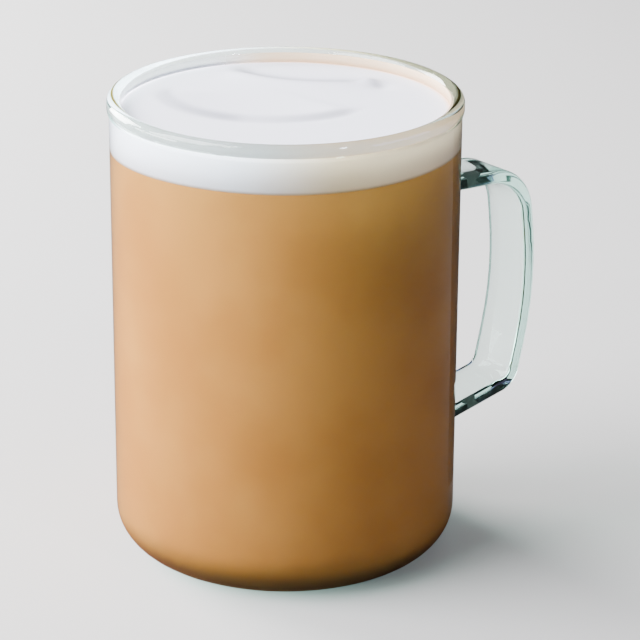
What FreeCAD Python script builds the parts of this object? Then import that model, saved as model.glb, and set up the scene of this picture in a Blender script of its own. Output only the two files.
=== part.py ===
"""Latte in a straight-sided clear glass mug with a flat strap handle.

Frame: millimetres, +Z up, origin at the centre of the mug's flat base, the handle along +X.
"""
import FreeCAD, Part
import math
import os

V = FreeCAD.Vector

# --- Mug -------------------------------------------------------------------------------------
MUG_HEIGHT = 113.0
BODY_RADIUS = 41.5          # outside of the straight wall
WALL = 2.3
BASE_THICKNESS = 4.0
BASE_ROUND = 10.0           # outside corner between wall and base
BEAD_HEIGHT = 4.2           # fire-polished bead around the rim
BEAD_PROUD = 0.5            # how far the bead stands out of the wall, outside
BEAD_INSIDE = 0.35          # and inside
BEAD_SWELL = 1.1            # height over which it swells out of the wall

# --- Handle: a flat strap bent in the XZ plane ------------------------------------------------
STRAP_WIDTH = 14.4
STRAP_THICKNESS = 3.6
STRAP_EDGE = 1.2            # rounding of the strap's long edges
STRAP_REACH = 33.3          # how far the strap stands out past the wall
STRAP_BELOW_RIM = 30.0      # from the rim down to the upper run's centreline at the wall
STRAP_ABOVE_BASE = 19.9     # from the base up to the lower run's centreline at the wall
UPPER_DROP = 1.4            # how far the upper run falls on its way out
LOWER_DROP = 5.9            # how far the lower run falls on its way back to the wall
UPPER_INSET = 2.6           # how far the upper corner lies in from the bow
LOWER_INSET = 5.0           # and the lower corner
UPPER_BEND = 12.0
BOW_SHARE = 0.94            # share of the free straight runs that the bow's arc takes up
LOWER_BEND = 5.0
STRAP_ROOT = 1.3            # how deep the strap is melted into the wall
ROOT_FILLET = 1.8           # glass drawn out around each joint

# --- Drink ------------------------------------------------------------------------------------
FOAM_BELOW_RIM = 3.4        # level foam, measured down from the rim
FOAM_DEPTH = 8.65           # mean depth of the foam at the glass
EDGE_TILT = 0.6             # how much thicker and thinner the foam is at two opposite sides
EDGE_WAVE = 0.2             # slow wave of the line between foam and coffee
THIN_SIDE = -75.0           # direction in which the foam is thinnest, degrees from +X

# Swirl on the foam: a raised round lobe, and a fold that runs in across it to a small peak
LOBE_X = 6.8
LOBE_Y = 13.7
LOBE_RADIUS = 25.0
LOBE_RISE = 0.9
LOBE_RUN_OUT = 8.0          # the ridge falls away this gently on its inner side
LOBE_FROM = 150.0           # directions from the lobe's centre between which its edge shows
LOBE_TO = 278.0
FOLD_X = 33.2
FOLD_Y = 40.1
FOLD_RADIUS = 26.3
FOLD_GROWTH = 0.155         # growth of the fold's radius for each degree
FOLD_RISE = 1.1
FOLD_RUN_OUT = 5.0
FOLD_FROM = 203.0
FOLD_TO = 258.0
PEAK_X = 28.6
PEAK_Y = 4.6
PEAK_RISE = 0.9
DIMPLE_Y = -0.6             # the dimple lies beside the peak
DIMPLE_DEPTH = 0.4
PEAK_SPREAD = 2.6
CREASE_WIDTH = 1.5
SWIRL_FADE = 12.0           # degrees over which the edge and the fold die away
LEVEL_MARGIN = 6.0          # the foam lies level within this distance of the glass
RELIEF_SPANS = 56           # spans of the foam's upper face each way
EDGE_SPANS = 20             # and of its lower face

BODY_INSIDE = BODY_RADIUS - WALL
BEAD_OUTER = BODY_RADIUS + BEAD_PROUD
BEAD_INNER = BODY_INSIDE - BEAD_INSIDE
BEAD_FOOT = MUG_HEIGHT - BEAD_HEIGHT
BEAD_NECK = BEAD_FOOT + BEAD_SWELL
BEAD_SHOULDER = MUG_HEIGHT - (BEAD_OUTER - BEAD_INNER) / 2    # a half-round crown tops the bead
FOAM_LEVEL = MUG_HEIGHT - FOAM_BELOW_RIM
EDGE_LEVEL = FOAM_LEVEL - FOAM_DEPTH


def save(shape, node):
    """Write one sub-part as a STEP file."""
    print(node, "solids", len(shape.Solids), "valid", shape.isValid(), "cm3", round(shape.Volume / 1000, 1))
    shape.Solids[0].exportStep("parts/" + node + ".step")


def revolved(edges):
    """Solid of revolution about Z from edges that close a face in the XZ plane."""
    face = Part.Face(Part.Wire(Part.__sortEdges__(edges)))
    return face.revolve(V(0, 0, 0), V(0, 0, 1), 360)


def line(start, end):
    return Part.LineSegment(start, end).toShape()


def arc(start, middle, end):
    return Part.Arc(start, middle, end).toShape()


def corner_arc(centre_r, centre_z, radius, start_angle, end_angle):
    """Arc in the XZ plane between two directions given in degrees."""
    points = []
    for angle in (start_angle, (start_angle + end_angle) / 2, end_angle):
        a = math.radians(angle)
        points.append(V(centre_r + radius * math.cos(a), 0, centre_z + radius * math.sin(a)))
    return arc(*points)


# --- Mug body ---------------------------------------------------------------------------------
def inner_face():
    """Edges of the mug's inside, from the middle of its floor up to the bead's crown."""
    inner_round = BASE_ROUND - WALL
    floor_radius = BODY_INSIDE - inner_round
    return [
        line(V(0, 0, BASE_THICKNESS), V(floor_radius, 0, BASE_THICKNESS)),
        corner_arc(floor_radius, BASE_THICKNESS + inner_round, inner_round, -90, 0),
        line(V(BODY_INSIDE, 0, BASE_THICKNESS + inner_round), V(BODY_INSIDE, 0, BEAD_FOOT)),
        line(V(BODY_INSIDE, 0, BEAD_FOOT), V(BEAD_INNER, 0, BEAD_NECK)),
        line(V(BEAD_INNER, 0, BEAD_NECK), V(BEAD_INNER, 0, BEAD_SHOULDER)),
    ]


def mug_body():
    """Wall, base and rim bead, turned in one piece."""
    crown_radius = (BEAD_OUTER - BEAD_INNER) / 2
    return revolved([
        line(V(0, 0, 0), V(BODY_RADIUS - BASE_ROUND, 0, 0)),
        corner_arc(BODY_RADIUS - BASE_ROUND, BASE_ROUND, BASE_ROUND, -90, 0),
        line(V(BODY_RADIUS, 0, BASE_ROUND), V(BODY_RADIUS, 0, BEAD_FOOT)),
        line(V(BODY_RADIUS, 0, BEAD_FOOT), V(BEAD_OUTER, 0, BEAD_NECK)),
        line(V(BEAD_OUTER, 0, BEAD_NECK), V(BEAD_OUTER, 0, BEAD_SHOULDER)),
        corner_arc(BEAD_INNER + crown_radius, BEAD_SHOULDER, crown_radius, 0, 180),
        *inner_face(),
        line(V(0, 0, BASE_THICKNESS), V(0, 0, 0)),
    ])


def cavity():
    """The room inside the mug, up to the rim, as a solid."""
    return revolved([
        *inner_face(),
        line(V(BEAD_INNER, 0, BEAD_SHOULDER), V(BEAD_INNER, 0, MUG_HEIGHT)),
        line(V(BEAD_INNER, 0, MUG_HEIGHT), V(0, 0, MUG_HEIGHT)),
        line(V(0, 0, MUG_HEIGHT), V(0, 0, BASE_THICKNESS)),
    ])


# --- Handle -----------------------------------------------------------------------------------
def offset_corners(corners, distance):
    """Corners of a path moved sideways by a distance, to the left of its direction."""
    moved = []
    runs = [(b - a).normalize() for a, b in zip(corners, corners[1:])]
    left = [V(-run.z, 0, run.x) for run in runs]
    for i, corner in enumerate(corners):
        before = left[max(i - 1, 0)]
        after = left[min(i, len(left) - 1)]
        moved.append(corner + (before + after) * (distance / (1 + before.dot(after))))
    return moved


def half_angle(corners, i):
    """Half the angle between the two runs that meet at a corner."""
    return (corners[i - 1] - corners[i]).getAngle(corners[i + 1] - corners[i]) / 2


def rounded_path(corners, bends):
    """Straight runs joined by tangent arcs, one bend radius for each inner corner."""
    edges = []
    last = corners[0]
    for i, bend in enumerate(bends, start=1):
        back = (corners[i - 1] - corners[i]).normalize()
        on = (corners[i + 1] - corners[i]).normalize()
        half = half_angle(corners, i)
        reach = bend / math.tan(half)
        top = corners[i] + (back + on).normalize() * (bend / math.sin(half) - bend)
        start = corners[i] + back * reach
        end = corners[i] + on * reach
        edges += [line(last, start), arc(start, top, end)]
        last = end
    edges.append(line(last, corners[-1]))
    return edges


def strap_path():
    """Corners and bend radii of the strap's centreline, from the upper joint to the lower one."""
    bow = BODY_RADIUS + STRAP_REACH - STRAP_THICKNESS / 2
    root = BODY_RADIUS - STRAP_ROOT
    upper_z = MUG_HEIGHT - STRAP_BELOW_RIM
    corners = [
        V(root, 0, upper_z),
        V(bow - UPPER_INSET, 0, upper_z - UPPER_DROP),
        V(bow, 0, (upper_z + STRAP_ABOVE_BASE) / 2),
        V(bow - LOWER_INSET, 0, STRAP_ABOVE_BASE + LOWER_DROP),
        V(root, 0, STRAP_ABOVE_BASE),
    ]
    # The bow's arc takes its share of what the other two bends leave of the runs beside it. It
    # passes inside its corner, so the corner moves out until the arc reaches the bow.
    for _ in range(8):
        room = min(
            (corners[2] - corners[i]).Length
            - (bend + STRAP_THICKNESS / 2) / math.tan(half_angle(corners, i))
            for i, bend in ((1, UPPER_BEND), (3, LOWER_BEND))
        )
        half = half_angle(corners, 2)
        bow_bend = BOW_SHARE * room * math.tan(half)
        corners[2].x = bow + bow_bend / math.sin(half) - bow_bend
    return corners, (UPPER_BEND, bow_bend, LOWER_BEND)


def strap():
    """The handle's flat strap, with rounded long edges."""
    corners, bends = strap_path()
    half = STRAP_THICKNESS / 2
    outer = rounded_path(offset_corners(corners, half), [bend + half for bend in bends])
    inner = rounded_path(offset_corners(corners, -half), [bend - half for bend in bends])
    ends = [line(inner[i].Vertexes[i].Point, outer[i].Vertexes[i].Point) for i in (0, -1)]
    outline = Part.Face(Part.Wire(Part.__sortEdges__([*ends, *outer, *inner])))
    outline.translate(V(0, -STRAP_WIDTH / 2, 0))
    band = outline.extrude(V(0, STRAP_WIDTH, 0))
    long_edges = [
        edge for edge in band.Edges
        if edge.BoundBox.YLength < 1e-6 and edge.BoundBox.XMax > BODY_RADIUS
    ]
    return band.makeFillet(min(STRAP_EDGE, 0.45 * STRAP_THICKNESS), long_edges)


def is_joint(edge):
    """Whether an edge runs around one of the handle's joints, on the outside of the wall."""
    box = edge.BoundBox
    on_wall = all(abs(math.hypot(v.X, v.Y) - BODY_RADIUS) < 0.01 for v in edge.Vertexes)
    handle_side = box.XMin > BODY_RADIUS / 2
    between = BASE_ROUND < box.ZMin and box.ZMax < BEAD_FOOT
    return on_wall and handle_side and between and box.ZLength < 2 * STRAP_THICKNESS


def mug():
    """Body and handle, melted together, with a little glass drawn out around each joint."""
    joined = mug_body().fuse(strap()).removeSplitter()
    return joined.makeFillet(ROOT_FILLET, [edge for edge in joined.Edges if is_joint(edge)])


# --- Drink ------------------------------------------------------------------------------------
def fade(value, low, high, soft):
    """1 between low and high, falling smoothly to 0 beyond them."""
    rise = 1 / (1 + math.exp(-4 * (value - low) / soft))
    fall = 1 / (1 + math.exp(4 * (value - high) / soft))
    return rise * fall


def crease(distance, run_out):
    """A soft ridge: steep outside, with a shallow groove at its foot, and gentle on its inner side."""
    t = distance / CREASE_WIDTH
    ridge = 0.5 * (1 - math.tanh(t)) * math.exp(min(0.0, distance) / run_out)
    return ridge - 0.3 * math.exp(-((t - 1.3) ** 2))


def bump(x, y, centre_x, centre_y):
    """A small round rise of height 1."""
    return math.exp(-((x - centre_x) ** 2 + (y - centre_y) ** 2) / PEAK_SPREAD ** 2)


def direction(x, y):
    """Direction of (x, y) from the origin, in degrees from 0 to 360."""
    return math.degrees(math.atan2(y, x)) % 360


def foam_relief(x, y):
    """Height of the swirl above level foam."""
    lobe_distance = math.hypot(x - LOBE_X, y - LOBE_Y) - LOBE_RADIUS
    lobe = LOBE_RISE * crease(lobe_distance, LOBE_RUN_OUT)
    lobe *= fade(direction(x - LOBE_X, y - LOBE_Y), LOBE_FROM, LOBE_TO, SWIRL_FADE)
    fold_angle = direction(x - FOLD_X, y - FOLD_Y)
    fold_radius = FOLD_RADIUS + FOLD_GROWTH * (fold_angle - FOLD_FROM)
    fold = FOLD_RISE * crease(fold_radius - math.hypot(x - FOLD_X, y - FOLD_Y), FOLD_RUN_OUT)
    fold *= fade(fold_angle, FOLD_FROM, FOLD_TO, SWIRL_FADE)
    peak = PEAK_RISE * bump(x, y, PEAK_X, PEAK_Y) - DIMPLE_DEPTH * bump(x, y, PEAK_X, DIMPLE_Y)
    return lobe + fold + peak


def foam_top(x, y):
    """Level of the foam's upper face: flat by the glass, with the swirl in the middle."""
    share = min(1.0, max(0.0, (BODY_INSIDE - math.hypot(x, y)) / LEVEL_MARGIN))
    return FOAM_LEVEL + share * share * (3 - 2 * share) * foam_relief(x, y)


def foam_edge(x, y):
    """Level of the line between foam and coffee, higher at the side where the foam is thin."""
    share = math.hypot(x, y) / BODY_INSIDE
    turn = math.atan2(y, x) - math.radians(THIN_SIDE)
    return EDGE_LEVEL + share * (EDGE_TILT * math.cos(turn) + EDGE_WAVE * math.sin(3 * turn))


def below(level, spans):
    """Everything under a surface z = level(x, y), as a solid wide enough for the mug."""
    half = BODY_RADIUS + 1
    ticks = [half * (2 * i / spans - 1) for i in range(spans + 1)]
    surface = Part.BSplineSurface()
    surface.interpolate([[V(x, y, level(x, y)) for y in ticks] for x in ticks])
    return surface.toShape().extrude(V(0, 0, -2 * MUG_HEIGHT))


def drink():
    """Coffee and foam: the mug's cavity, split along the line between them."""
    room = cavity()
    coffee_side = below(foam_edge, EDGE_SPANS)
    latte = room.common(coffee_side)
    foam = room.common(below(foam_top, RELIEF_SPANS)).cut(coffee_side)
    return latte, foam


os.makedirs("parts", exist_ok=True)
save(mug(), "mug")
latte, foam = drink()
save(latte, "latte")
save(foam, "foam")
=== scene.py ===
"""Looks of a latte in a clear glass mug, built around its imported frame."""
import bmesh
import bpy
import math
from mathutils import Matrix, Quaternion, Vector


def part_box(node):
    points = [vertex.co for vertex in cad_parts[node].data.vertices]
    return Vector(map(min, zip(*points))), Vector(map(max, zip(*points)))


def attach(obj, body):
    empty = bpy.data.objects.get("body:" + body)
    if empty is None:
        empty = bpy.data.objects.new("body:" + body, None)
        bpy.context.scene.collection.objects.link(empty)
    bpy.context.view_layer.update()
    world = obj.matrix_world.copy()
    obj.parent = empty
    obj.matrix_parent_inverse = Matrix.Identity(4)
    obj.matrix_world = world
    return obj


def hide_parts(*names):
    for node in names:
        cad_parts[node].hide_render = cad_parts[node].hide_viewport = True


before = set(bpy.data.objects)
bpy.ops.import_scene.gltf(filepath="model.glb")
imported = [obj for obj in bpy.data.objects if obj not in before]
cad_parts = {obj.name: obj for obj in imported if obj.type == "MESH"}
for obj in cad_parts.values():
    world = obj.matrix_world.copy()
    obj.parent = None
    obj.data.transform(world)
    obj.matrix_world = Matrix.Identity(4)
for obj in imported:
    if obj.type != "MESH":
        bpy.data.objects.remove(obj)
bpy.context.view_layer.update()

MM = 0.001

# --- Sizes: the overall ones from the frame, the rest the mug's own --------------------------------
_, mug_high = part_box("mug")
latte_low, latte_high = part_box("latte")

SEGMENTS = 192                          # sides of everything turned

BEAD_HEIGHT = 4.2 * MM
BEAD_PROUD = 0.5 * MM                   # how far the bead stands out of the wall
BEAD_INSIDE = 0.35 * MM                 # and how far it stands in
BEAD_SWELL = 1.1 * MM                   # height over which it swells
BASE_ROUND = 10 * MM
MUG_HEIGHT = mug_high.z
BEAD_OUTER = mug_high.y
BODY_RADIUS = BEAD_OUTER - BEAD_PROUD
BODY_INSIDE = latte_high.y
WALL = BODY_RADIUS - BODY_INSIDE
BASE_THICKNESS = latte_low.z
BEAD_FOOT = MUG_HEIGHT - BEAD_HEIGHT
BEAD_NECK = BEAD_FOOT + BEAD_SWELL
BEAD_INNER = BODY_INSIDE - BEAD_INSIDE
CROWN = (BEAD_OUTER - BEAD_INNER) / 2   # radius of the bead's round top
BEAD_SHOULDER = MUG_HEIGHT - CROWN

FOAM_BELOW_RIM = 3.4 * MM
FOAM_DEPTH = 8.65 * MM
FOAM_LEVEL = MUG_HEIGHT - FOAM_BELOW_RIM
EDGE_LEVEL = FOAM_LEVEL - FOAM_DEPTH    # mean line between foam and coffee
INTO_WALL = 0.15 * MM                   # the drink reaches this far into the glass

STRAP_WIDTH = 14.4 * MM
STRAP_THICKNESS = 3.6 * MM
STRAP_EDGE = 1.2 * MM
STRAP_ROOT = 1.3 * MM                   # how deep its ends lie in the wall
STRAP_OUT = mug_high.x                  # outermost point of the handle
STRAP_BELOW_RIM = 30 * MM
UPPER_Z = MUG_HEIGHT - STRAP_BELOW_RIM
LOWER_Z = 19.9 * MM                     # height of the lower joint


# --- Modelling helpers -----------------------------------------------------------------------------
def start_piece():
    """Leave edit mode with nothing selected."""
    if bpy.context.object is not None and bpy.context.object.mode != "OBJECT":
        bpy.ops.object.mode_set(mode="OBJECT")
    bpy.ops.object.select_all(action="DESELECT")


def named(name):
    """Name the piece just added, with its place in its mesh, and go into edit mode."""
    piece = bpy.context.object
    piece.name = name
    piece.data.name = name
    bpy.ops.object.transform_apply(location=True, rotation=True, scale=True)
    bpy.ops.object.mode_set(mode="EDIT")
    return piece


def pick(piece, kind, test):
    """Select only the faces, edges or verts that pass a test."""
    bpy.ops.mesh.select_all(action="DESELECT")
    bpy.ops.mesh.select_mode(type={"faces": "FACE", "edges": "EDGE", "verts": "VERT"}[kind])
    mesh = bmesh.from_edit_mesh(piece.data)
    for part in getattr(mesh, kind):
        if test(part):
            part.select = True
    mesh.select_flush_mode()
    bmesh.update_edit_mesh(piece.data)


def cap_at(z):
    """Test for a flat face lying at a height."""
    return lambda face: all(abs(vert.co.z - z) < 1e-6 for vert in face.verts)


def loop_at(radius, z):
    """Test for the edges of a ring around the mug's axis."""
    def test(edge):
        return all(
            abs(vert.co.z - z) < 1e-6 and abs(math.hypot(vert.co.x, vert.co.y) - radius) < 1e-6
            for vert in edge.verts
        )
    return test


def draw_rings(radius, z, rings):
    """Extrude the selected round cap from one ring to the next: each is (radius, z)."""
    for next_radius, next_z in rings:
        bpy.ops.mesh.extrude_region_move(TRANSFORM_OT_translate={"value": (0, 0, next_z - z)})
        share = next_radius / radius
        bpy.ops.transform.resize(value=(share, share, 1), center_override=(0, 0, next_z))
        radius, z = next_radius, next_z


def arc_rings(centre_radius, centre_z, bend, first, last, steps):
    """Rings along an arc of a turned outline, between two directions in degrees."""
    rings = []
    for i in range(1, steps + 1):
        angle = math.radians(first + (last - first) * i / steps)
        rings.append((centre_radius + bend * math.cos(angle), centre_z + bend * math.sin(angle)))
    return rings


def clean(piece):
    """Close seams and point the faces outwards."""
    start_piece()
    bpy.context.view_layer.objects.active = piece
    piece.select_set(True)
    bpy.ops.object.mode_set(mode="EDIT")
    bpy.ops.mesh.select_all(action="SELECT")
    bpy.ops.mesh.remove_doubles(threshold=1e-6)
    bpy.ops.mesh.normals_make_consistent(inside=False)
    bpy.ops.object.mode_set(mode="OBJECT")


def finish_piece(piece, node):
    """Clean a piece, shade it smooth and hand it to the frame."""
    clean(piece)
    bpy.ops.object.shade_smooth()
    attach(piece, "root")
    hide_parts(node)


def apply_modifier(piece, modifier):
    bpy.context.view_layer.objects.active = piece
    bpy.ops.object.modifier_apply(modifier=modifier.name)


# --- Mug: body -------------------------------------------------------------------------------------
def make_mug_body():
    """Wall, rounded base and beaded rim, drawn up from a cylinder and back down inside."""
    swell = 0.3 * MM                    # the bead's neck bends over this height
    start_piece()
    bpy.ops.mesh.primitive_cylinder_add(
        vertices=SEGMENTS, radius=BODY_RADIUS, depth=BEAD_FOOT, location=(0, 0, BEAD_FOOT / 2)
    )
    body = named("glass_mug")
    inner_round = BASE_ROUND - WALL
    floor_radius = BODY_INSIDE - inner_round
    floor_corner = BASE_THICKNESS + inner_round
    pick(body, "faces", cap_at(BEAD_FOOT))
    draw_rings(BODY_RADIUS, BEAD_FOOT, [
        (BODY_RADIUS + 0.15 * MM, BEAD_FOOT + swell),
        (BEAD_OUTER - 0.12 * MM, BEAD_NECK - swell),
        (BEAD_OUTER, BEAD_NECK + 0.2 * MM),
        *arc_rings(BEAD_INNER + CROWN, BEAD_SHOULDER, CROWN, 0, 180, 16),
        (BEAD_INNER, BEAD_NECK + 0.2 * MM),
        (BODY_INSIDE - 0.08 * MM, BEAD_NECK - swell),
        (BODY_INSIDE, BEAD_FOOT),
        *[(BODY_INSIDE, BEAD_FOOT + (floor_corner - BEAD_FOOT) * i / 12) for i in range(1, 13)],
        *arc_rings(floor_radius, floor_corner, inner_round, 0, -90, 12),
        (floor_radius * 0.6, BASE_THICKNESS),
        (floor_radius * 0.2, BASE_THICKNESS),
    ])
    pick(body, "edges", loop_at(BODY_RADIUS, 0))
    bpy.ops.mesh.bevel(offset=BASE_ROUND, segments=14, profile=0.5, affect="EDGES")
    pick(body, "faces", cap_at(0))
    bpy.ops.mesh.inset(thickness=12 * MM)
    bpy.ops.mesh.inset(thickness=12 * MM)
    bpy.ops.object.mode_set(mode="OBJECT")
    return body


# --- Mug: handle -----------------------------------------------------------------------------------
UPPER_DROP = 1.4 * MM                   # the upper limb sinks by this on its way out
LOWER_DROP = 5.9 * MM                   # and the lower limb by this on its way in
UPPER_INSET = 2.6 * MM                  # how far each corner stays behind the bow
LOWER_INSET = 5 * MM
ROOT_X = BODY_RADIUS - STRAP_ROOT
BOW_X = STRAP_OUT - STRAP_THICKNESS / 2
HANDLE_CORNERS = [                      # of the strap's middle line, from root to root
    Vector((ROOT_X, 0, UPPER_Z)),
    Vector((BOW_X - UPPER_INSET, 0, UPPER_Z - UPPER_DROP)),
    Vector((BOW_X + 1.17 * MM, 0, (UPPER_Z + LOWER_Z) / 2)),   # the bow stays inside this corner
    Vector((BOW_X - LOWER_INSET, 0, LOWER_Z + LOWER_DROP)),
    Vector((ROOT_X, 0, LOWER_Z)),
]
HANDLE_BENDS = [12 * MM, 85 * MM, 5 * MM]
ROOT_FLARE = 2.4 * MM


def make_handle():
    """Flat strap: a rounded section drawn along the runs and spun round the bends."""
    start_piece()
    bpy.ops.mesh.primitive_plane_add(size=1, location=HANDLE_CORNERS[0], rotation=(0, math.pi / 2, 0))
    bpy.context.object.scale = (STRAP_THICKNESS, STRAP_WIDTH, 1)
    strap = named("handle")
    bpy.ops.mesh.select_all(action="SELECT")
    bpy.ops.mesh.bevel(offset=STRAP_EDGE, segments=6, affect="VERTICES")
    bpy.ops.mesh.select_mode(type="FACE")
    bpy.ops.mesh.select_all(action="SELECT")
    here = HANDLE_CORNERS[0]
    runs = zip(HANDLE_CORNERS, HANDLE_CORNERS[1:], HANDLE_CORNERS[2:])
    for (before, corner, after), bend in zip(runs, HANDLE_BENDS):
        back = (before - corner).normalized()
        on = (after - corner).normalized()
        half = back.angle(on) / 2
        bend_start = corner + back * (bend / math.tan(half))
        centre = corner + (back + on).normalized() * (bend / math.sin(half))
        draw_run(here, bend_start, 10)
        turn = math.pi - 2 * half
        steps = max(6, round(math.degrees(turn) / 5))
        bpy.ops.mesh.spin(steps=steps, angle=turn, center=centre, axis=(0, -1, 0))
        here = corner + on * (bend / math.tan(half))
    draw_run(here, HANDLE_CORNERS[-1], 22)
    bpy.ops.object.mode_set(mode="OBJECT")
    flare_roots(strap)
    return strap


def draw_run(start, end, steps):
    """Extrude the selected section along a straight run, in equal steps."""
    for _ in range(steps):
        bpy.ops.mesh.extrude_region_move(TRANSFORM_OT_translate={"value": (end - start) / steps})


def flare_roots(strap):
    """Draw the glass out around each joint, so that the strap runs smoothly into the wall."""
    for vert in strap.data.vertices:
        gap = math.hypot(vert.co.x, vert.co.y) - BODY_RADIUS
        if gap >= ROOT_FLARE:
            continue
        middle_z = UPPER_Z if vert.co.z > (UPPER_Z + LOWER_Z) / 2 else LOWER_Z
        depth = ROOT_FLARE - max(gap, 0)
        grow = ROOT_FLARE - math.sqrt(ROOT_FLARE ** 2 - depth ** 2)
        away = Vector((0, vert.co.y, vert.co.z - middle_z)).normalized()
        vert.co += away * grow


def make_mug():
    """Body and handle joined into one piece of glass."""
    body = make_mug_body()
    clean(body)
    handle = make_handle()
    clean(handle)
    join = body.modifiers.new("join", "BOOLEAN")
    join.operation = "UNION"
    join.solver = "EXACT"
    join.object = handle
    start_piece()
    apply_modifier(body, join)
    bpy.data.objects.remove(handle)
    finish_piece(body, "mug")
    return body


# --- Drink -----------------------------------------------------------------------------------------
EDGE_TILT = 0.6 * MM                    # the line between foam and coffee leans by this
EDGE_WAVE = 0.2 * MM                    # and rises and falls by this
THIN_SIDE = math.radians(-75)           # towards which it is highest

LOBE = Vector((6.8, 13.7)) * MM
LOBE_RADIUS = 25 * MM
LOBE_SPAN = (150, 278)                  # directions, in degrees, over which the lobe's edge rises
LOBE_RISE = 0.9 * MM
LOBE_RUN_OUT = 8 * MM                   # how far the ridge falls off on its inner side
FOLD = Vector((33.2, 40.1)) * MM
FOLD_RADIUS = 26.3 * MM
FOLD_SPAN = (203, 258)
FOLD_GROWTH = 0.155 * MM                # its radius grows by this in each degree
FOLD_RISE = 1.1 * MM
FOLD_RUN_OUT = 5 * MM
PEAK = Vector((28.6, 4.6)) * MM
DIMPLE = Vector((28.6, -0.6)) * MM
PEAK_RISE = 0.9 * MM
DIMPLE_DEPTH = 0.4 * MM
PEAK_SPREAD = 2.6 * MM
CREASE_WIDTH = 1.5 * MM
SWIRL_FADE = 12                         # degrees over which a ridge fades at its ends
LEVEL_MARGIN = 6 * MM                   # by the glass the foam levels out over this


def fade(value, low, high):
    """1 between low and high, falling smoothly to 0 beyond them."""
    rise = 1 / (1 + math.exp(-4 * (value - low) / SWIRL_FADE))
    fall = 1 / (1 + math.exp(4 * (value - high) / SWIRL_FADE))
    return rise * fall


def crease(distance, run_out):
    """A soft ridge: steep outside, with a shallow groove at its foot, and gentle on its inner side."""
    t = distance / CREASE_WIDTH
    ridge = 0.5 * (1 - math.tanh(t)) * math.exp(min(0.0, distance) / run_out)
    return ridge - 0.3 * math.exp(-((t - 1.3) ** 2))


def direction(offset):
    """Direction of a flat vector in degrees, from 0 to 360."""
    return math.degrees(math.atan2(offset.y, offset.x)) % 360


def swirl(spot):
    """Signed distances outside the lobe's edge and the fold, each with its direction there."""
    lobe = (spot - LOBE).length - LOBE_RADIUS
    fold_angle = direction(spot - FOLD)
    fold = FOLD_RADIUS + FOLD_GROWTH * (fold_angle - FOLD_SPAN[0]) - (spot - FOLD).length
    return lobe, direction(spot - LOBE), fold, fold_angle


def foam_top(x, y):
    """Level of the foam's upper face: flat by the glass, with a lobe, a fold and a small peak."""
    spot = Vector((x, y))
    lobe, lobe_angle, fold, fold_angle = swirl(spot)
    relief = LOBE_RISE * crease(lobe, LOBE_RUN_OUT) * fade(lobe_angle, *LOBE_SPAN)
    relief += FOLD_RISE * crease(fold, FOLD_RUN_OUT) * fade(fold_angle, *FOLD_SPAN)
    relief += PEAK_RISE * math.exp(-((spot - PEAK).length / PEAK_SPREAD) ** 2)
    relief -= DIMPLE_DEPTH * math.exp(-((spot - DIMPLE).length / PEAK_SPREAD) ** 2)
    share = min(1.0, max(0.0, (BODY_INSIDE - spot.length) / LEVEL_MARGIN))
    return FOAM_LEVEL + share * share * (3 - 2 * share) * relief


def swirl_shade(x, y):
    """Painted shade of the swirl, from 0 to 1: how deep a point lies in its creases, where little light gets
    in, and the shaded foot of the peak.
    """
    spot = Vector((x, y))
    lobe, lobe_angle, fold, fold_angle = swirl(spot)
    near_end = fade(lobe_angle, 215, 330)
    lobe_shade = math.exp(-((lobe / CREASE_WIDTH - 0.5) / 1.2) ** 2)
    lobe_shade *= fade(lobe_angle, 145, 275) * (1 - 0.65 * near_end)
    fold_shade = math.exp(-((fold / CREASE_WIDTH - 0.9) / 1.7) ** 2) * fade(fold_angle, 196, 262)
    below_peak = (PEAK + 2 * DIMPLE) / 3
    peak_shade = 0.5 * math.exp(-((spot - below_peak).length / CREASE_WIDTH) ** 2)
    return min(1.0, lobe_shade + fold_shade + peak_shade)


def foam_edge(x, y):
    """Level of the line between foam and coffee, higher at the side where the foam is thin."""
    share = math.hypot(x, y) / BODY_INSIDE
    turn = math.atan2(y, x) - THIN_SIDE
    return EDGE_LEVEL + share * (EDGE_TILT * math.cos(turn) + EDGE_WAVE * math.sin(3 * turn))


def settle(piece, levels):
    """Move the verts at each flat level onto the surface that belongs there."""
    for vert in piece.data.vertices:
        for z, surface in levels.items():
            if abs(vert.co.z - z) < 1e-6:
                vert.co.z = surface(vert.co.x, vert.co.y)


def inset_to_middle(radius, rings):
    """Divide the selected round cap into rings, down to a small one at the middle."""
    for _ in range(rings - 1):
        bpy.ops.mesh.inset(thickness=radius / rings)


def make_latte():
    """Coffee up to the foam, reaching just into the glass."""
    start_piece()
    radius = BODY_INSIDE + INTO_WALL
    low = BASE_THICKNESS - INTO_WALL
    bpy.ops.mesh.primitive_cylinder_add(
        vertices=SEGMENTS, radius=radius, depth=EDGE_LEVEL - low, location=(0, 0, (EDGE_LEVEL + low) / 2)
    )
    latte = named("latte_coffee")
    pick(latte, "faces", cap_at(EDGE_LEVEL))
    inset_to_middle(radius, 12)
    pick(latte, "edges", loop_at(radius, low))
    bpy.ops.mesh.bevel(offset=BASE_ROUND - WALL + INTO_WALL, segments=12, profile=0.5, affect="EDGES")
    bpy.ops.object.mode_set(mode="OBJECT")
    settle(latte, {EDGE_LEVEL: foam_edge})
    finish_piece(latte, "latte")
    return latte


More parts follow.
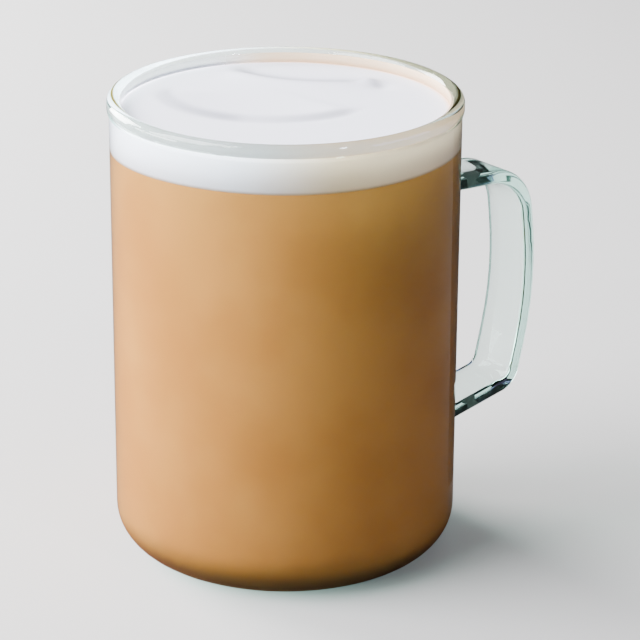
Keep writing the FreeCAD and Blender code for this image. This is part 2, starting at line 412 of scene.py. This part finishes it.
def make_foam():
    """Milk foam: its side follows the glass and the bead's neck, its top carries the swirl."""
    start_piece()
    radius = BODY_INSIDE + INTO_WALL
    bpy.ops.mesh.primitive_cylinder_add(
        vertices=SEGMENTS, radius=radius, depth=BEAD_FOOT - EDGE_LEVEL,
        location=(0, 0, (BEAD_FOOT + EDGE_LEVEL) / 2)
    )
    foam = named("milk_foam")
    pick(foam, "faces", cap_at(EDGE_LEVEL))
    inset_to_middle(radius, 12)
    pick(foam, "faces", cap_at(BEAD_FOOT))
    neck_share = (FOAM_LEVEL - BEAD_FOOT) / BEAD_SWELL
    top_radius = BODY_INSIDE + (BEAD_INNER - BODY_INSIDE) * neck_share + INTO_WALL
    draw_rings(radius, BEAD_FOOT, [(top_radius, FOAM_LEVEL)])
    inset_to_middle(top_radius, 80)
    bpy.ops.object.mode_set(mode="OBJECT")
    # painted shade of the swirl, kept on the foam top's points
    shade = foam.data.attributes.new("swirl_shade", "FLOAT", "POINT")
    for vert, value in zip(foam.data.vertices, shade.data):
        value.value = swirl_shade(vert.co.x, vert.co.y) if abs(vert.co.z - FOAM_LEVEL) < 1e-6 else 0.0
    settle(foam, {EDGE_LEVEL: foam_edge, FOAM_LEVEL: foam_top})
    finish_piece(foam, "foam")
    return foam


FILM_GAP = 0.1 * MM                     # the film's face lies this deep in the bead
FILM_THICKNESS = 0.3 * MM


def make_film():
    """Thin film of milk left on the inside of the bead, from the foam to the start of the crown."""
    start_piece()
    low = FOAM_LEVEL - 0.4 * MM
    rise = 0.35 * CROWN
    radius = BEAD_INNER + FILM_GAP
    bpy.ops.mesh.primitive_cylinder_add(
        vertices=SEGMENTS, radius=radius, depth=BEAD_SHOULDER - low,
        location=(0, 0, (BEAD_SHOULDER + low) / 2)
    )
    film = named("milk_film")
    pick(film, "faces", cap_at(BEAD_SHOULDER))
    bend = CROWN - FILM_GAP
    draw_rings(radius, BEAD_SHOULDER, [
        (BEAD_INNER + CROWN - math.sqrt(bend ** 2 - height ** 2), BEAD_SHOULDER + height)
        for height in (rise * i / 4 for i in range(1, 5))
    ])
    bpy.ops.mesh.delete(type="FACE")
    pick(film, "faces", cap_at(low))
    bpy.ops.mesh.delete(type="FACE")
    bpy.ops.object.mode_set(mode="OBJECT")
    clean(film)
    skin = film.modifiers.new("thickness", "SOLIDIFY")
    skin.thickness = FILM_THICKNESS
    skin.offset = -1
    apply_modifier(film, skin)
    bpy.ops.object.shade_smooth()
    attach(film, "root")
    return film


# --- Materials -------------------------------------------------------------------------------------
class Wire:
    """A value socket in a node tree, so that shader maths is written as expressions."""

    def __init__(self, shader, socket):
        self.shader = shader
        self.socket = socket

    def maths(self, operation, *values):
        return self.shader.add("ShaderNodeMath", {"operation": operation}, dict(enumerate(values)))

    def __add__(self, other):
        return self.maths("ADD", self, other)

    def __sub__(self, other):
        return self.maths("SUBTRACT", self, other)

    def __mul__(self, other):
        return self.maths("MULTIPLY", self, other)

    def __radd__(self, other):
        return self.maths("ADD", other, self)

    def __rsub__(self, other):
        return self.maths("SUBTRACT", other, self)

    def __rmul__(self, other):
        return self.maths("MULTIPLY", other, self)


class Shader:
    """A material's node tree, built one node at a time."""

    def __init__(self, name):
        self.material = bpy.data.materials.new(name)
        self.material.use_nodes = True
        self.tree = self.material.node_tree
        self.tree.nodes.clear()
        self.output = self.tree.nodes.new("ShaderNodeOutputMaterial")

    def add(self, kind, settings=None, sockets=None, out=0):
        """A node: its settings first, then the values or links of its sockets."""
        node = self.tree.nodes.new(kind)
        for key, value in (settings or {}).items():
            setattr(node, key, value)
        for key, value in (sockets or {}).items():
            if isinstance(value, Wire):
                self.tree.links.new(value.socket, node.inputs[key])
            else:
                node.inputs[key].default_value = value
        return Wire(self, node.outputs[out])

    def show(self, surface, volume=None):
        self.tree.links.new(surface.socket, self.output.inputs["Surface"])
        if volume is not None:
            self.tree.links.new(volume.socket, self.output.inputs["Volume"])
        return self.material

    def place(self):
        """Object coordinates, as a vector and as three values."""
        spot = self.add("ShaderNodeTexCoord", out=3)
        split = self.add("ShaderNodeSeparateXYZ", sockets={0: spot})
        outputs = split.socket.node.outputs
        return spot, *[Wire(self, outputs[i]) for i in range(3)]

    def noise(self, spot, scale, detail):
        return self.add("ShaderNodeTexNoise", sockets={"Vector": spot, "Scale": scale, "Detail": detail})

    def blend(self, share, first, second):
        """Mix of two colours."""
        return self.add("ShaderNodeMix", {"data_type": "RGBA"}, {0: share, 6: first, 7: second}, out=2)

    def smooth_step(self, value, low, high):
        """0 below low, 1 above high, smooth between."""
        return self.add(
            "ShaderNodeMapRange", {"interpolation_type": "SMOOTHSTEP"},
            {"Value": value, "From Min": low, "From Max": high, "To Min": 0.0, "To Max": 1.0},
        )


COFFEE = (0.295, 0.105, 0.0225, 1)
COFFEE_MILKY = (0.37, 0.147, 0.036, 1)  # in its paler clouds and where it meets the foam
COFFEE_FOOT = (0.19, 0.075, 0.026, 1)   # in the shade of the base corner
FOAM_WHITE = (0.80, 0.82, 0.93, 1)
FOAM_SHADE = (0.30, 0.31, 0.37, 1)      # painted shade, deep in the creases of the swirl
FOAM_COOL = (0.94, 0.83, 0.98, 1)       # foam by the glass, whose green tint it makes up for
FOAM_WARM_SHADE = (0.93, 0.63, 0.43, 1)       # painted warm shade: the same on the side away from the key
FILM_BACK = (0.90, 0.66, 0.44, 1)       # milky coffee left on the bead's back, with painted warm shade
FILM_FRONT = (0.45, 0.42, 0.43, 1)      # thin, wet milk on its front
# painted warm shade on the film's front, away from the key
FILM_FRONT_WARM_SHADE = (0.68, 0.47, 0.30, 1)
WARM_SHADE_SIDE = Vector((0.793, -0.609))     # flat direction of the painted warm shade on the foam's side and the film
BACK_SIDE = Vector((0.609, 0.793))      # flat direction of the bead's back


def glass_material():
    """Clear glass with a green depth; lamps shine straight through it."""
    glass = Shader("clear_glass")
    clear = glass.add("ShaderNodeBsdfPrincipled", sockets={
        "Base Color": (0.98, 1.0, 0.99, 1),
        "Roughness": 0.0,
        "IOR": 1.47,
        "Transmission Weight": 1.0,
    })
    lamp_way = glass.add("ShaderNodeBsdfTransparent", sockets={"Color": (0.95, 0.97, 0.96, 1)})
    shadow = glass.add("ShaderNodeLightPath", out=1)
    surface = glass.add("ShaderNodeMixShader", sockets={0: shadow, 1: clear, 2: lamp_way})
    tint = glass.add("ShaderNodeVolumeAbsorption", sockets={
        "Color": (0.45, 0.82, 0.74, 1),
        "Density": 75.0,
    })
    return glass.show(surface, tint)


def edge_height(shader, x, y, z):
    """Height above the line between foam and coffee, at the glass."""
    turn = shader.add("ShaderNodeMath", {"operation": "ARCTAN2"}, {0: y, 1: x}) - THIN_SIDE
    tilt = shader.add("ShaderNodeMath", {"operation": "COSINE"}, {0: turn})
    wave = shader.add("ShaderNodeMath", {"operation": "SINE"}, {0: turn * 3.0})
    return z - (tilt * EDGE_TILT + wave * EDGE_WAVE) - EDGE_LEVEL


def coffee_material():
    """Milky coffee with faint paler clouds, darker where it rounds into the base."""
    coffee = Shader("milky_coffee")
    spot, _, _, z = coffee.place()
    clouds = coffee.smooth_step(coffee.noise(spot, 34.0, 3.0), 0.35, 0.65)
    colour = coffee.blend(clouds * 0.5, COFFEE, COFFEE_MILKY)
    foot = coffee.smooth_step(z, BASE_THICKNESS + 0.3 * MM, BASE_THICKNESS + 4 * MM)
    colour = coffee.blend(foot, COFFEE_FOOT, colour)
    return coffee.show(coffee.add("ShaderNodeBsdfPrincipled", sockets={
        "Base Color": colour,
        "Roughness": 0.6,
        "Specular IOR Level": 0.0,
    }))


def towards(shader, side, x, y, low, high):
    """0 up to low and 1 from high, measured from the mug's axis in a flat direction."""
    return shader.smooth_step(x * side.x + y * side.y, low, high)


def foam_material():
    """White foam with painted shade in its creases, by the glass cool on the lit side and in painted warm
    shade on the other, and milky brown at its lower edge.
    """
    foam = Shader("milk_foam")
    _, x, y, z = foam.place()
    height = edge_height(foam, x, y, z)
    radius = foam.add("ShaderNodeMath", {"operation": "SQRT"}, {0: x * x + y * y})
    at_glass = foam.smooth_step(radius, BODY_INSIDE - 2.0 * MM, BODY_INSIDE)
    # painted light by the glass: cool on the side the key lights, warm shade on the other
    side = foam.blend(towards(foam, WARM_SHADE_SIDE, x, y, -14 * MM, 14 * MM), FOAM_COOL, FOAM_WARM_SHADE)
    white = foam.blend(at_glass, FOAM_WHITE, side)
    # painted shade in the swirl's creases and at the peak's foot
    deep = foam.add("ShaderNodeAttribute", {"attribute_name": "swirl_shade"}, out=2)
    white = foam.blend(deep * 0.9, white, FOAM_SHADE)
    colour = foam.blend(foam.smooth_step(height, -0.3 * MM, 0.9 * MM), COFFEE_MILKY, white)
    return foam.show(foam.add("ShaderNodeBsdfPrincipled", sockets={
        "Base Color": colour,
        "Roughness": 0.55,
        "Specular IOR Level": 0.3,
    }))


def film_material():
    """Milk film: nearly clear at the back of the milky side, denser elsewhere, in painted warm shade on the
    side away from the key.
    """
    film = Shader("milk_film")
    _, x, y, _ = film.place()
    back = towards(film, BACK_SIDE, x, y, -8 * MM, 14 * MM)
    # painted warm shade, on the side away from the key
    warm = towards(film, WARM_SHADE_SIDE, x, y, -22 * MM, -2 * MM)
    front_warm = towards(film, WARM_SHADE_SIDE, x, y, -8 * MM, 14 * MM)
    front_colour = film.blend(front_warm, FILM_FRONT, FILM_FRONT_WARM_SHADE)
    back_colour = film.blend(warm, FOAM_WHITE, FILM_BACK)
    return film.show(film.add("ShaderNodeBsdfPrincipled", sockets={
        "Base Color": film.blend(back, front_colour, back_colour),
        "Roughness": 0.4,
        "Specular IOR Level": 0.3,
        "Alpha": back * (warm * 0.5 - 0.45) + 0.6,
    }))


def dress(piece, material):
    piece.data.materials.clear()
    piece.data.materials.append(material)


# --- Stage -----------------------------------------------------------------------------------------
VIEW_AZIMUTH = math.radians(-37.5)
VIEW_ELEVATION = math.radians(21.12)
RIM_RADIUS = BEAD_OUTER
CAMERA_DISTANCE = 16.09 * RIM_RADIUS
AIM_HEIGHT = 1.3 * RIM_RADIUS
CAMERA_PAN = math.radians(0.76)
CAMERA_TILT = math.radians(-0.12)
CAMERA_ROLL = math.radians(0.39)
SENSOR = 36
LENS = 157.275


def around(azimuth, elevation, distance):
    """A point seen from the one aimed at, on the mug's axis; azimuth 0 is on the -Y side."""
    return Vector((
        distance * math.sin(azimuth) * math.cos(elevation),
        -distance * math.cos(azimuth) * math.cos(elevation),
        AIM_HEIGHT + distance * math.sin(elevation),
    ))


def make_camera():
    data = bpy.data.cameras.new("camera")
    data.sensor_width = SENSOR
    data.lens = LENS
    camera = bpy.data.objects.new("camera", data)
    bpy.context.scene.collection.objects.link(camera)
    camera.location = around(VIEW_AZIMUTH, VIEW_ELEVATION, CAMERA_DISTANCE)
    camera.rotation_mode = "XYZ"
    pitch = VIEW_ELEVATION + CAMERA_TILT
    forward = Vector((0, math.cos(pitch), -math.sin(pitch)))
    turned = Vector((
        forward.y * math.sin(CAMERA_PAN - VIEW_AZIMUTH),
        forward.y * math.cos(CAMERA_PAN - VIEW_AZIMUTH),
        forward.z,
    ))
    look = turned.to_track_quat("-Z", "Y")
    look.rotate(Quaternion(turned, -CAMERA_ROLL))
    camera.rotation_euler = look.to_euler()
    bpy.context.scene.camera = camera


def make_light(name, azimuth, elevation, distance, size, radiance, colour=(1, 1, 1)):
    """Soft box that faces the mug: its azimuth counts from the camera's, its brightness is radiance."""
    width, height = size
    data = bpy.data.lights.new(name, "AREA")
    data.shape = "RECTANGLE"
    data.size = width
    data.size_y = height
    data.energy = math.pi * width * height * radiance
    data.color = colour
    lamp = bpy.data.objects.new(name, data)
    bpy.context.scene.collection.objects.link(lamp)
    lamp.location = around(VIEW_AZIMUTH + math.radians(azimuth), math.radians(elevation), distance)
    facing = Vector((0, 0, AIM_HEIGHT)) - lamp.location
    lamp.rotation_euler = facing.to_track_quat("-Z", "Y").to_euler()


def make_gap_card():
    """Dark card standing in the handle's gap, seen only in reflections: the wall's edge stays dark there."""
    start_piece()
    bpy.ops.mesh.primitive_plane_add(
        size=1, location=((BODY_RADIUS + STRAP_OUT) / 2, 30 * MM, (UPPER_Z + LOWER_Z) / 2),
        rotation=(0, math.pi / 2, 0)
    )
    card = bpy.context.object
    card.name = "gap_card"
    card.scale = (MUG_HEIGHT, 100 * MM, 1)
    card.visible_transmission = False
    hide_card(card, (0.03, 0.03, 0.03))


def make_dark_dome():
    """Dark dome beyond the lamps, seen only in the glass: it darkens what would show the sky."""
    start_piece()
    bpy.ops.mesh.primitive_uv_sphere_add(segments=48, ring_count=24, radius=2.5)
    dome = bpy.context.object
    dome.name = "dark_dome"
    hide_card(dome, (0.02, 0.02, 0.02))


def make_underlay():
    """Dark brown disc between mug and floor, seen only in the glass: it darkens the base corner."""
    start_piece()
    bpy.ops.mesh.primitive_circle_add(
        vertices=SEGMENTS, radius=BODY_RADIUS + 5 * MM, fill_type="NGON", location=(0, 0, -0.2 * MM)
    )
    disc = bpy.context.object
    disc.name = "underlay"
    hide_card(disc, (0.10, 0.04, 0.03))


def make_gloss_sheet():
    """Dark sheet on the floor, seen only in reflections, so that the pale floor doesn't veil the glass."""
    start_piece()
    bpy.ops.mesh.primitive_plane_add(size=3, location=(0, 0, -0.35 * MM))
    sheet = bpy.context.object
    sheet.name = "gloss_sheet"
    sheet.visible_transmission = False
    hide_card(sheet, (0.05, 0.05, 0.05))


def hide_card(card, colour):
    """Give a helper surface its matt felt; the camera, soft light and shadows pass it by."""
    card.visible_camera = False
    card.visible_diffuse = False
    card.visible_shadow = False
    felt = Shader(card.name + "_felt")
    dress(card, felt.show(felt.add("ShaderNodeBsdfPrincipled", sockets={
        "Base Color": (*colour, 1), "Roughness": 1.0, "Specular IOR Level": 0.0,
    })))


def make_floor():
    start_piece()
    bpy.ops.mesh.primitive_plane_add(size=8, location=(0, 0, -0.5 * MM))
    floor = bpy.context.object
    floor.name = "floor"
    paint = Shader("pale_floor")
    dress(floor, paint.show(paint.add("ShaderNodeBsdfPrincipled", sockets={
        "Base Color": (0.45, 0.45, 0.45, 1), "Roughness": 0.9, "Specular IOR Level": 0.1,
    })))


def make_stage():
    """Pale floor and sky, the lamps, and the helper surfaces that only the glass sees."""
    make_floor()
    world = bpy.data.worlds.new("studio")
    world.use_nodes = True
    sky = world.node_tree.nodes["Background"]
    sky.inputs["Color"].default_value = (1, 1, 1, 1)
    sky.inputs["Strength"].default_value = 0.3
    bpy.context.scene.world = world
    make_light("window", -76, 42, 1.3, (1.0, 1.0), 24, (0.99, 0.98, 1))
    make_light("window_back", -130, 15, 1.0, (0.5, 0.7), 60, (1, 0.98, 0.97))
    make_light("window_low", -88, 3, 1.2, (0.8, 0.3), 38, (1, 0.98, 1))
    make_light("fill", 78, 8, 1.2, (1.0, 0.8), 1.2, (1, 0.85, 1.6))
    make_light("glint_left", -40, 35, 1.0, (0.10, 0.05), 150)
    make_light("glint_right", 38, 35, 1.0, (0.10, 0.05), 150)
    make_gap_card()
    make_dark_dome()
    make_underlay()
    make_gloss_sheet()


mug = make_mug()
latte = make_latte()
foam = make_foam()
film = make_film()
dress(mug, glass_material())
dress(latte, coffee_material())
dress(foam, foam_material())
dress(film, film_material())
make_stage()
make_camera()
